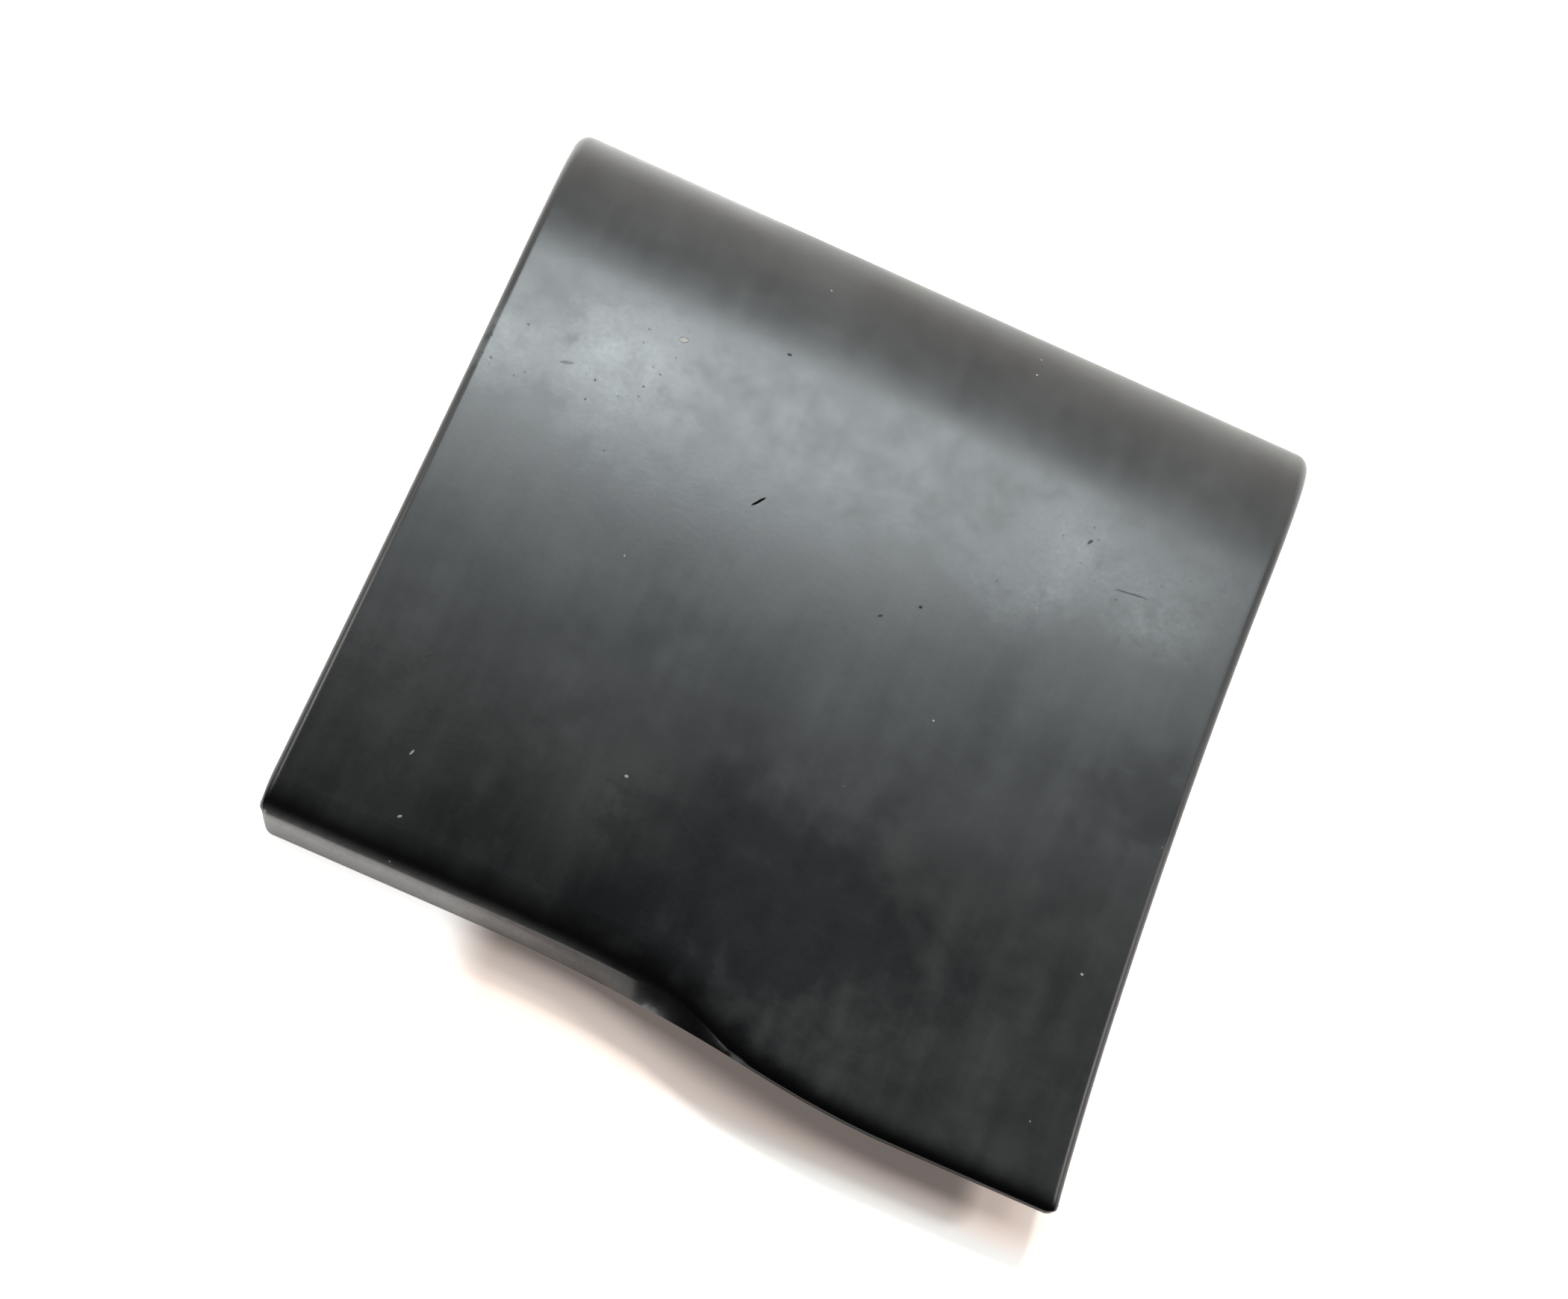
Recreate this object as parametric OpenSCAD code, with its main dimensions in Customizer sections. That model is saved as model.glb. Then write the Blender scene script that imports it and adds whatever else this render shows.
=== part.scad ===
// One module of a rubber speed bump: a moulded rubber cover over a crumb-rubber core with hidden fixings.
// X runs along the road, Y in the direction of travel from the toe to the nose, and Z up from the road.

/* [Overall size] */
// Length of one module along the road
module_len = 350; // [300:5:400]
// Size in the direction of travel, at the end where the toe reaches furthest
travel = 380; // [350:5:420]
// Height of the crest above the road
height = 50; // [46:1:60]

/* [Ramp and nose] */
// Distance from the rear edge to the crest
crest_back = 90; // [75:5:110]
// Height of the ramp above the front lip
lip_h = 19; // [18:1:22]
// Height of the upright foot under the nose
nose_foot = 8; // [5:1:12]

/* [Toe] */
// How much further the toe reaches at the right-hand end than at the left-hand end
toe_reach = 22; // [10:1:26]
// Height of the toe's underside above the road at the right-hand end
toe_lift = 15; // [8:0.5:16]
// How far the right-hand end of the toe curls up above the ramp's own curve
toe_curl = 5; // [4:0.5:7]
// Depth of the curl, behind the toe's edge
curl_depth = 90; // [60:5:110]
// Share of the length at which the toe starts to run out
toe_from = 0.27; // [0.2:0.01:0.35]
// Share of the length at which the toe is fully out
toe_to = 0.8; // [0.72:0.01:0.88]
// Share of the length at which the fold leaves the lip
fold_from = 0.5; // [0.44:0.01:0.54]
// Share of the length at which the fold would be fully out
fold_to = 0.68; // [0.62:0.01:0.74]
// How far the fold's bend runs down the front wall
fold_soft = 3; // [2:0.5:6]
// How many times further the bend runs up the ramp than down the wall
fold_stretch = 5; // [2:0.5:6]

/* [Edges] */
// Radius of the two front corners in plan
front_corner_r = 5; // [3:0.5:8]
// Radius of the two rear corners in plan
rear_corner_r = 8; // [4:0.5:10]
// Radius of the top edge along both sides
edge_r = 4; // [2:0.5:4.5]
// How far the left-hand side bows inwards
bow_left = 2; // [0:0.5:6]
// How far the right-hand side bows inwards
bow_right = 7.5; // [0:0.5:9]
// How far the left-hand side leans in under its edge
tuck_left = 5; // [0:0.5:10]
// How far the right-hand side leans in under its edge
tuck_right = 3; // [0:0.5:6]

/* [Cover] */
// Thickness of the cover over the core
wall = 8; // [6:0.5:10]
// Least thickness of the cover's side walls at the road
side_wall = 7; // [7:0.5:12]
// Thickness of the cover's front wall at the road
front_wall = 11; // [10:0.5:14]
// Height of the cover's rim above the road
rim_z = 1; // [0.5:0.5:2]
// Draft of the cavity's walls, from bottom to top
draft = 1.5; // [1:0.25:2]
// Layer of bonding cement between the cover and the core
bond_gap = 0.2; // [0.1:0.05:0.4]

/* [Core pockets] */
// Side of a square pocket
pocket = 34; // [24:1:36]
// Rib between two pockets
rib = 8; // [6:1:12]
// Rubber left above a pocket
pocket_roof = 10; // [8:1:14]
// Least rubber between the pockets and the link sleeves
pocket_edge = 7; // [4:1:12]
// Radius of a pocket's corners
pocket_r = 5; // [3:0.5:7]

/* [Anchors] */
// Distance of the anchors from each end of the module
anchor_end = 55; // [50:1:70]
// Distance of the front row of anchors from the lip
anchor_front = 53; // [50:1:56]
// Distance of the rear row of anchors from the rear edge
anchor_rear = 65; // [58:1:70]
// Width of an anchor bar
bar_w = 36; // [34:1:40]
// Thickness of an anchor bar
bar_t = 5; // [3:0.5:6]
// Height of an anchor bar above the road
bar_z = 6; // [5:0.5:7]
// Length of an anchor bar beyond the last anchor
bar_end = 25; // [20:1:28]
// Outside diameter of an anchor socket
socket_d = 20; // [16:0.5:22]
// Height to which an anchor socket reaches
socket_top = 18; // [17.5:0.5:19]
// Diameter of the bore for an M12 thread
thread_bore = 10.2; // [8:0.1:12]
// Depth of the threaded bore from the socket's mouth
thread_depth = 13; // [11:0.5:14]
// Diameter of an anchor socket's flange
flange_d = 32; // [28:0.5:34]
// Thickness of an anchor socket's flange
flange_t = 4; // [2:0.5:5]
// Clearance between the core and the steel moulded into it
cast_gap = 0.1; // [0.05:0.05:0.3]

/* [Links] */
// Distance of each link sleeve from the row of anchors next to it
link_in = 43; // [36:1:46]
// Height of the link sleeves' axis above the road
link_z = 16; // [15:0.5:16.5]
// Outside diameter of a link sleeve
link_od = 20; // [19:0.5:21]
// Bore of a link sleeve, for a 16 mm dowel
link_id = 16.4; // [12:0.1:16.8]
// Depth of a link sleeve's end inside the side face
link_inset = 1; // [0.5:0.5:3]

/* [Grip strips] */
// Width of a butyl strip
strip_w = 22; // [14:1:26]
// Thickness of a butyl strip
strip_t = 4; // [2:0.5:4.5]
// Distance of a butyl strip's ends from each end of the module
strip_end = 30; // [26:1:60]
// Clearance round a butyl strip
strip_gap = 0.2; // [0.1:0.05:0.4]

/* [Hidden] */

rear_y = travel / 2;
crest_y = rear_y - crest_back;
lip_y = toe_reach - travel / 2;
cavity_x = module_len / 2 - max(bow_left + tuck_left, bow_right + tuck_right) - side_wall;
core_x = cavity_x - bond_gap;
anchor_x = module_len / 2 - anchor_end;
strip_x = module_len / 2 - strip_end;
// Rows from side to side: front and rear
anchor_rows = [lip_y + anchor_front, rear_y - anchor_rear];
link_rows = [anchor_rows[0] + link_in, anchor_rows[1] - link_in];
// The pockets fill the space between the link sleeves, in whole rows and columns
pocket_pitch = pocket + rib;
pocket_cols = floor((2 * core_x - rib) / pocket_pitch);
pocket_rows = floor((link_rows[1] - link_rows[0] - link_od + rib - 2 * pocket_edge) / pocket_pitch);
pocket_mid = (link_rows[0] + link_rows[1]) / 2;

// Points along the wall of the lip, round the fold, up the ramp, round the nose, and across the end
wall_steps = 3;
fold_steps = 8;
ramp_steps = 18;
nose_steps = 12;
inner_steps = 9;
end_steps = 5;
body_steps = 22;
// Share of the length within which each end closes over its wall
end_share = 0.05;
// Step of the length between an end's closing ring and the first open ring
open_step = 0.02;
// Share of the length by which the toe's lift ends after the middle of its run
lift_lag = 0.08;
// Largest share of the front face that the fold's bend takes
fold_part = 0.6;
// Largest share of the toe's thickness that the rounding of the side edges takes
round_part = 0.8;
// Setback of the front wall's outer face from the lip, under the toe
toe_root = 4;
// Least step between two points of the rim
rim_step = 2;
// Share of the toe's underside at which its middle point lies
under_mid = 0.4;

function mix(a, b, s) = a + (b - a) * s;
function clamp01(s) = max(0, min(1, s));
function ease(from, to, s) = let (u = clamp01((s - from) / (to - from))) u * u * (3 - 2 * u);
function unit(v) = v / norm(v);

// Height of the ramp at y, carried on over the toe
function ramp_z(y) = height - (height - lip_h) * pow((crest_y - y) / (crest_y - lip_y), 2);
// Slope of the ramp at y
function ramp_slope(y) = 2 * (height - lip_h) * (crest_y - y) / pow(crest_y - lip_y, 2);

// Height and slope of the cover's top at y and a share s of the length, where the toe curls up
function curl_run(y) = max(0, curl_depth - travel / 2 - y) / curl_depth;
function top_z(s, y) = ramp_z(y) + toe_curl * toe_share(s) * pow(curl_run(y), 2);
function top_slope(s, y) = ramp_slope(y) - 2 * toe_curl * toe_share(s) * curl_run(y) / curl_depth;

// Edge of the toe, its underside and the fold above it, at a share s of the length
function toe_share(s) = ease(toe_from, toe_to, s);
function toe_y(s) = lip_y - toe_reach * toe_share(s);
function toe_z(s) = mix(rim_z, toe_lift, ease(toe_from, (toe_from + toe_to) / 2 + lift_lag, s));
function fold_y(s) = lip_y - toe_reach * min(toe_share(s), ease(fold_from, fold_to, s));

// Half of an oval from the crest down to the rear, with its reach and rise
function nose_arc(reach, rise, steps) = [
    for (i = [1:steps]) [crest_y + reach * sin(90 * i / steps), nose_foot + rise * cos(90 * i / steps)]
];

// The curve from one face to the other round a fold at point f
function fold_curve(f, down, up, soft) = [
    for (i = [0:fold_steps]) let (u = i / fold_steps)
        f + down * soft * pow(1 - u, 2) + up * soft * fold_stretch * pow(u, 2)
];

// The outer section at a share s of the length, from the toe's lower edge to the foot of the nose
function outer_section(s) =
    let (b = [toe_y(s), toe_z(s)])
    let (f = [fold_y(s), top_z(s, fold_y(s))])
    let (down = unit(b - f))
    let (up = unit([1, top_slope(s, f[0])]))
    let (soft = min(fold_soft, fold_part * norm(b - f)))
    let (start = f[0] + up[0] * soft * fold_stretch)
    concat(
        [for (i = [0:wall_steps - 1]) mix(b, f + down * soft, i / wall_steps)],
        fold_curve(f, down, up, soft),
        [for (i = [1:ramp_steps]) let (y = mix(start, crest_y, i / ramp_steps)) [y, top_z(s, y)]],
        nose_arc(crest_back, height - nose_foot, nose_steps)
    );

// The cavity's section, from the foot of its front wall to the foot of its rear wall, shrunk by a gap
function inner_section(gap) =
    let (front = lip_y + front_wall + gap)
    concat(
        [[front, rim_z]],
        [for (i = [0:inner_steps]) let (y = mix(front + draft, crest_y, i / inner_steps))
            [y, ramp_z(y) - wall - gap]],
        nose_arc(crest_back - wall - gap, height - wall - gap - nose_foot, inner_steps),
        [[rear_y - wall - gap + draft, rim_z]]
    );

// Outward direction of a section at point i, in Y and Z
function outward(p, i) =
    let (a = p[max(0, i - 1)])
    let (b = p[min(len(p) - 1, i + 1)])
    let (t = unit(b - a))
    i == len(p) - 1 ? [1, 0] : [-t[1], t[0]];

// Where the two ends lie at y
function bow(y) = max(0, 1 - pow(y / (travel / 2 - front_corner_r), 2));
function left_x(y, z) = bow_left * bow(y) + tuck_left * clamp01(1 - z / lip_h) - module_len / 2;
function right_x(y, z) = module_len / 2 - bow_right * bow(y) - tuck_right * clamp01(1 - z / toe_lift);
function end_x(side, y, z) = side < 0 ? left_x(y, z) : right_x(y, z);

// The underside of the toe and the front wall's foot, at a share s of the length behind the edge point b
function toe_underside(s, b) =
    let (root = max(lip_y + toe_root, b[0] + rim_step))
    [[mix(b[0], root, under_mid), b[1]], [root, b[1]], [root + rim_step, rim_z]];

// Radius of the end's rounding where a section faces the direction out
function rounding(out) = mix(edge_r, out[0] < 0 ? front_corner_r : rear_corner_r, pow(out[0], 2));

// How far the end's rounding draws in point i of a section, kept within the toe's thickness
function rounded(p, i) =
    let (by = outward(p, i) * rounding(outward(p, i)))
    let (room = round_part * (p[i][1] - p[0][1]))
    [by[0], p[i][0] < crest_y ? min(by[1], room) : by[1]];

// A ring of points is one section's outer points followed by its underside points.
// One ring of the rounded end on one side (-1 or 1): a is 0 at the end face and 90 where the rounding ends
function end_ring(side, a) =
    let (s = side < 0 ? 0 : 1)
    let (p = outer_section(s))
    let (r = [for (i = [0:len(p) - 1]) rounding(outward(p, i))])
    let (q = [for (i = [0:len(p) - 1]) p[i] - rounded(p, i) * (1 - sin(a))])
    let (toe = toe_underside(s, q[0]))
    let (rim_from = toe[2][0])
    let (rim_to = q[len(q) - 1][0])
    let (n = len(inner_section(0)))
    concat(
        [for (i = [0:len(p) - 1])
            [end_x(side, q[i][0], q[i][1]) - side * r[i] * (1 - cos(a)), q[i][0], q[i][1]]],
        [for (c = toe) [end_x(side, c[0], c[1]) - side * edge_r * (1 - cos(a)), c[0], c[1]]],
        [for (i = [1:n + 1]) let (y = mix(rim_from, rim_to, i / (n + 1)))
            [end_x(side, y, rim_z) - side * edge_r * (1 - cos(a)), y, rim_z]]
    );

// One ring of the body at a share s of the length, with the cavity open, or closed at the rim's height
function body_ring(s, cavity_at, open) =
    let (p = outer_section(s))
    let (toe = toe_underside(s, p[0]))
    concat(
        [for (c = p) [mix(left_x(c[0], c[1]), right_x(c[0], c[1]), s), c[0], c[1]]],
        [for (c = toe) [cavity_at, c[0], c[1]]],
        [for (c = inner_section(0)) [cavity_at, c[0], open ? c[1] : rim_z]],
        [[cavity_at, rear_y, rim_z]]
    );

function cover_rings() = concat(
    [for (i = [0:end_steps]) end_ring(-1, 90 * i / end_steps)],
    [body_ring(end_share, -cavity_x - draft, false)],
    [for (i = [0:body_steps]) let (u = i / body_steps)
        let (s = mix(end_share + open_step, 1 - end_share - open_step, u))
        body_ring(s, mix(-cavity_x, cavity_x, u), true)],
    [body_ring(1 - end_share, cavity_x + draft, false)],
    [for (i = [0:end_steps]) end_ring(1, 90 - 90 * i / end_steps)]
);

// Triangles that close an end between the outer points and the underside points, in the order of their y
function zip_end(ring, n_outer, first, i = 0, j = 0) =
    let (last_i = n_outer - 1)
    let (last_j = len(ring) - n_outer - 1)
    i == last_i && j == last_j ? [] :
    j == last_j || (i < last_i && ring[i + 1][1] <= ring[n_outer + j + 1][1]) ?
        concat([[first + i, first + i + 1, first + n_outer + j]], zip_end(ring, n_outer, first, i + 1, j)) :
        concat([[first + i, first + n_outer + j + 1, first + n_outer + j]],
            zip_end(ring, n_outer, first, i, j + 1));

// A closed skin over rings that each hold n_outer outer points and then their underside points
module skin(rings, n_outer) {
    n = len(rings[0]);
    last = (len(rings) - 1) * n;
    around = concat([for (i = [0:n_outer - 1]) i], [for (j = [n - 1:-1:n_outer]) j]);
    sides = [for (k = [0:len(rings) - 2]) for (m = [0:n - 1])
        let (a = k * n + around[m])
        let (b = k * n + around[(m + 1) % n])
        each [[a, a + n, b], [b, a + n, b + n]]];
    left_end = [for (t = zip_end(rings[0], n_outer, 0)) t];
    right_end = [for (t = zip_end(rings[len(rings) - 1], n_outer, last)) [t[0], t[2], t[1]]];
    polyhedron(points = [for (r = rings) each r], faces = concat(sides, left_end, right_end));
}

module along_x(from, to, y, z) {
    translate([from, y, z])
        rotate([0, 90, 0])
            linear_extrude(to - from)
                children();
}

module rubber_cover() {
    color("#1d1e20")
        difference() {
            skin(cover_rings(), len(outer_section(0)));
            link_holes();
        }
}

module link_holes() {
    for (y = link_rows)
        along_x(-module_len, module_len, y, link_z)
            circle(d = link_od + 2 * cast_gap, $fn = 64);
}

module rounded_square(side, r) {
    square([side - 2 * r, side], center = true);
    square([side, side - 2 * r], center = true);
    for (i = [-1, 1])
        for (j = [-1, 1])
            translate([i * (side / 2 - r), j * (side / 2 - r)])
                circle(r = r, $fn = 32);
}

module at_anchors(rows) {
    for (i = [-1, 1])
        for (y = rows)
            translate([i * anchor_x, y, 0])
                children();
}

// Top of the row of pockets at y, under the ramp over its front edge
function pocket_top(y) = ramp_z(y - pocket / 2) - wall - pocket_roof;

module pocket_row(y) {
    for (i = [1:pocket_cols])
        translate([(i - (pocket_cols + 1) / 2) * pocket_pitch, y, -rim_z])
            linear_extrude(pocket_top(y) + rim_z)
                rounded_square(pocket, pocket_r);
}

module anchor_bar(y, gap) {
    translate([-anchor_x - bar_end - gap, y - bar_w / 2 - gap, bar_z - gap])
        cube([2 * (anchor_x + bar_end + gap), bar_w + 2 * gap, bar_t + 2 * gap]);
}

module socket_solid(gap, from) {
    translate([0, 0, from])
        cylinder(d = socket_d + 2 * gap, h = socket_top + gap - from, $fn = 64);
    translate([0, 0, bar_z + bar_t - gap])
        cylinder(d = flange_d + 2 * gap, h = flange_t + 2 * gap, $fn = 64);
}

module strip_solid(y, gap, below) {
    translate([-strip_x - gap, y - strip_w / 2 - gap, -below])
        cube([2 * (strip_x + gap), strip_w + 2 * gap, strip_t + gap + below]);
}

module crumb_core() {
    section = inner_section(bond_gap);
    front = section[0][0];
    rear = section[len(section) - 1][0];
    color("#2b2a28")
        difference() {
            translate([-core_x, 0, 0])
                rotate([90, 0, 90])
                    linear_extrude(2 * core_x)
                        polygon(concat([[front, 0]], section, [[rear, 0]]));
            for (j = [1:pocket_rows])
                pocket_row(pocket_mid + (j - (pocket_rows + 1) / 2) * pocket_pitch);
            link_holes();
            for (y = anchor_rows)
                anchor_bar(y, cast_gap);
            at_anchors(anchor_rows)
                socket_solid(cast_gap, -rim_z);
            for (y = link_rows)
                strip_solid(y, strip_gap, rim_z);
        }
}

module bar_with_holes(y) {
    color("#8f959b")
        difference() {
            anchor_bar(y, 0);
            at_anchors([y])
                cylinder(d = socket_d + 2 * cast_gap, h = height, $fn = 64);
        }
}

module front_anchor_bar() {
    bar_with_holes(anchor_rows[0]);
}

module rear_anchor_bar() {
    bar_with_holes(anchor_rows[1]);
}

module anchor_sockets() {
    color("#b9bcc0")
        at_anchors(anchor_rows)
            difference() {
                socket_solid(0, rim_z);
                cylinder(d = thread_bore, h = rim_z + thread_depth, $fn = 64);
            }
}

module link_sleeve(y) {
    bottom = link_z - link_od / 2;
    color("#a4a8ac")
        along_x(left_x(y, bottom) + link_inset, right_x(y, bottom) - link_inset, y, link_z)
            difference() {
                circle(d = link_od, $fn = 64);
                circle(d = link_id, $fn = 64);
            }
}

module front_link_sleeve() {
    link_sleeve(link_rows[0]);
}

module rear_link_sleeve() {
    link_sleeve(link_rows[1]);
}

module grip_strips() {
    color("#3a3632")
        for (y = link_rows)
            strip_solid(y, 0, 0);
}

rubber_cover();
crumb_core();
front_anchor_bar();
rear_anchor_bar();
anchor_sockets();
front_link_sleeve();
rear_link_sleeve();
grip_strips();
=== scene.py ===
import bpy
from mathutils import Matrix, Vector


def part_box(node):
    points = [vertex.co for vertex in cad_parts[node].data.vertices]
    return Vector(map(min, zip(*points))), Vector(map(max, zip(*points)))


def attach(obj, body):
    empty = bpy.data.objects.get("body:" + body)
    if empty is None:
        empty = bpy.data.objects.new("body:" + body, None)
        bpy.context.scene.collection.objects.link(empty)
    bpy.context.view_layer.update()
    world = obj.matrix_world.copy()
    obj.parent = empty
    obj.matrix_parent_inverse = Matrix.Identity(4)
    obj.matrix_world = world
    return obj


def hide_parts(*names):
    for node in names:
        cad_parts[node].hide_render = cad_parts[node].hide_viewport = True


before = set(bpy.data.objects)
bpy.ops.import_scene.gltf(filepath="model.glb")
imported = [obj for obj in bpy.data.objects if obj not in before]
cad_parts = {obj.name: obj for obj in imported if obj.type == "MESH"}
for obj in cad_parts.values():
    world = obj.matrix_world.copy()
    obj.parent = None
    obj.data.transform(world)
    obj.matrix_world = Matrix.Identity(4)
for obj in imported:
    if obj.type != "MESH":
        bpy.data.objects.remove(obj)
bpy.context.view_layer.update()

import ast
import math

import bpy
from mathutils import Matrix, Vector

bl_info = {
    "name": "Rubber speed bump module",
    "version": (1, 0, 0),
    "blender": (4, 5, 0),
    "location": "View3D > Sidebar > Speed bump",
    "description": "Dresses one module of a moulded rubber speed bump round its CAD frame",
    "category": "Object",
}

MM = 0.001
COVER_LOW, COVER_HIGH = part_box("rubber_cover")
FRONT_SLEEVE_LOW, FRONT_SLEEVE_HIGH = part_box("front_link_sleeve")
REAR_SLEEVE_LOW, REAR_SLEEVE_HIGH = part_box("rear_link_sleeve")
FRONT_LINK_Y = (FRONT_SLEEVE_LOW.y + FRONT_SLEEVE_HIGH.y) / 2
REAR_LINK_Y = (REAR_SLEEVE_LOW.y + REAR_SLEEVE_HIGH.y) / 2
LINK_Z = (FRONT_SLEEVE_LOW.z + FRONT_SLEEVE_HIGH.z) / 2
LINK_RADIUS = (FRONT_SLEEVE_HIGH.z - FRONT_SLEEVE_LOW.z) / 2
# Space between a link sleeve and the hole for it, in millimetres
LINK_SPACE = 0.1
# A right angle, cut a little short so that its cosine stays above zero
QUARTER_TURN = 1.5707963
# Edges of the cover that turn by more degrees than this are shaded as sharp ones
SHARP_ANGLE = 32
# Steps along the road, from the toe to the nose, and up
COVER_STEPS = (240, 160, 12)
HOLLOW_STEPS = (32, 48, 4)


# ---------------------------------------------------------------- shared helpers

def linear(hex_colour):
    """Turns an sRGB hex value into the linear colour that Blender works with."""
    parts = [int(hex_colour[i:i + 2], 16) / 255 for i in (1, 3, 5)]
    return tuple(p / 12.92 if p <= 0.04045 else ((p + 0.055) / 1.055) ** 2.4 for p in parts)


def add_node(tree, kind, settings=None, inputs=None):
    """Adds a node with its settings, and links or fills its inputs, which go by name or place."""
    node = tree.nodes.new(kind)
    for name, value in (settings or {}).items():
        setattr(node, name, value)
    for name, value in (inputs or {}).items():
        if isinstance(value, bpy.types.NodeSocket):
            tree.links.new(value, node.inputs[name])
        elif isinstance(value, bpy.types.Node):
            tree.links.new(value.outputs[0], node.inputs[name])
        else:
            node.inputs[name].default_value = value
    return node


# What each word of a formula adds: the node, its settings, and the inputs its parts go to
WORDS = {
    "sin": ("ShaderNodeMath", {"operation": "SINE"}, (0,)),
    "cos": ("ShaderNodeMath", {"operation": "COSINE"}, (0,)),
    "atan2": ("ShaderNodeMath", {"operation": "ARCTAN2"}, (0, 1)),
    "sqrt": ("ShaderNodeMath", {"operation": "SQRT"}, (0,)),
    "min": ("ShaderNodeMath", {"operation": "MINIMUM"}, (0, 1)),
    "max": ("ShaderNodeMath", {"operation": "MAXIMUM"}, (0, 1)),
    "below": ("ShaderNodeMath", {"operation": "LESS_THAN"}, (0, 1)),
    "mix": ("ShaderNodeMix", {"clamp_factor": False}, (2, 3, 0)),
    "share": ("ShaderNodeMapRange", {}, (1, 2, 0)),
    "ease": ("ShaderNodeMapRange", {"interpolation_type": "SMOOTHSTEP"}, (1, 2, 0)),
    ast.Add: ("ShaderNodeMath", {"operation": "ADD"}, (0, 1)),
    ast.Sub: ("ShaderNodeMath", {"operation": "SUBTRACT"}, (0, 1)),
    ast.Mult: ("ShaderNodeMath", {"operation": "MULTIPLY"}, (0, 1)),
    ast.Div: ("ShaderNodeMath", {"operation": "DIVIDE"}, (0, 1)),
    ast.Pow: ("ShaderNodeMath", {"operation": "POWER"}, (0, 1)),
}


def formula(tree, names, text):
    """Adds the nodes of a formula's lines and returns the last line's result.

    Its names stand for sockets or numbers, and each line's own name joins them.
    """
    def build(part):
        if isinstance(part, ast.Constant):
            return part.value
        if isinstance(part, ast.Name):
            return names[part.id]
        if isinstance(part, ast.Call):
            word, parts = part.func.id, part.args
        else:
            word, parts = type(part.op), (part.left, part.right)
        kind, settings, places = WORDS[word]
        return add_node(tree, kind, settings, {i: build(p) for i, p in zip(places, parts)}).outputs[0]

    for line in text.strip().splitlines():
        step = ast.parse(line.strip()).body[0]
        result = names[step.targets[0].id] = build(step.value)
    return result


def new_tree(name, sizes):
    """Starts a Geometry Nodes tree with a named input for each size.

    Returns the tree and its input sockets, by the names that the formulas use.
    """
    tree = bpy.data.node_groups.new(name, "GeometryNodeTree")
    tree.interface.new_socket("Geometry", in_out="INPUT", socket_type="NodeSocketGeometry")
    tree.interface.new_socket("Geometry", in_out="OUTPUT", socket_type="NodeSocketGeometry")
    for size in sizes:
        kind = "NodeSocketInt" if isinstance(sizes[size], int) else "NodeSocketFloat"
        tree.interface.new_socket(size, in_out="INPUT", socket_type=kind).default_value = sizes[size]
    entry = add_node(tree, "NodeGroupInput")
    names = {s.name.lower().replace(" ", "_"): s for s in entry.outputs if s.name}
    return tree, names


def end_tree(tree, geometry, material):
    """Ends a tree in real meshes that carry their material."""
    real = add_node(tree, "GeometryNodeRealizeInstances", {}, {0: geometry})
    painted = add_node(tree, "GeometryNodeSetMaterial", {}, {"Geometry": real, "Material": material})
    add_node(tree, "NodeGroupOutput", {}, {0: painted})


def make_piece(name, tree, sizes, replaces):
    """Runs a tree, keeps its result as a plain mesh, and puts that piece in the object."""
    piece = bpy.data.objects.new(name, bpy.data.meshes.new(name))
    bpy.context.scene.collection.objects.link(piece)
    modifier = piece.modifiers.new(tree.name, "NODES")
    modifier.node_group = tree
    for item in tree.interface.items_tree:
        if item.in_out == "INPUT" and item.name in sizes:
            modifier[item.identifier] = sizes[item.name]
    made = bpy.data.meshes.new_from_object(piece.evaluated_get(bpy.context.evaluated_depsgraph_get()))
    if not made.polygons:
        raise RuntimeError(f"{name}: its tree made no faces")
    piece.modifiers.clear()
    piece.data = made
    made.name = name
    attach(piece, "root")
    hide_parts(*replaces)


def sizes_of(group):
    """The sizes of a property group, by the names that people see."""
    return {group.bl_rna.properties[k].name: getattr(group, k) for k in group.__annotations__}


# ---------------------------------------------------------------- sizes and colours

def length(name, millimetres, description):
    """A length that the user can change, given here in millimetres."""
    return bpy.props.FloatProperty(
        name=name, default=millimetres * MM, min=0, unit="LENGTH", precision=4, description=description)


def position(name, metres, description):
    """A place along an axis that the user can change."""
    return bpy.props.FloatProperty(
        name=name, default=metres, unit="LENGTH", precision=4, description=description)


def length_share(name, default, low, high, description):
    """A share of the module's length that the user can change."""
    return bpy.props.FloatProperty(
        name=name, default=default, min=low, max=high, subtype="FACTOR", description=description)


def power(name, watts, description):
    """A lamp's power that the user can change."""
    return bpy.props.FloatProperty(
        name=name, default=watts, min=0, unit="POWER", description=description)


def angle(name, degrees, description):
    """An angle that the user can change, given here in degrees."""
    return bpy.props.FloatProperty(
        name=name, default=math.radians(degrees), subtype="ANGLE", description=description)


def colour(name, hex_colour, description):
    """A colour that the user can change."""
    return bpy.props.FloatVectorProperty(
        name=name, default=linear(hex_colour), min=0, max=1, size=3, subtype="COLOR",
        description=description)


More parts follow.
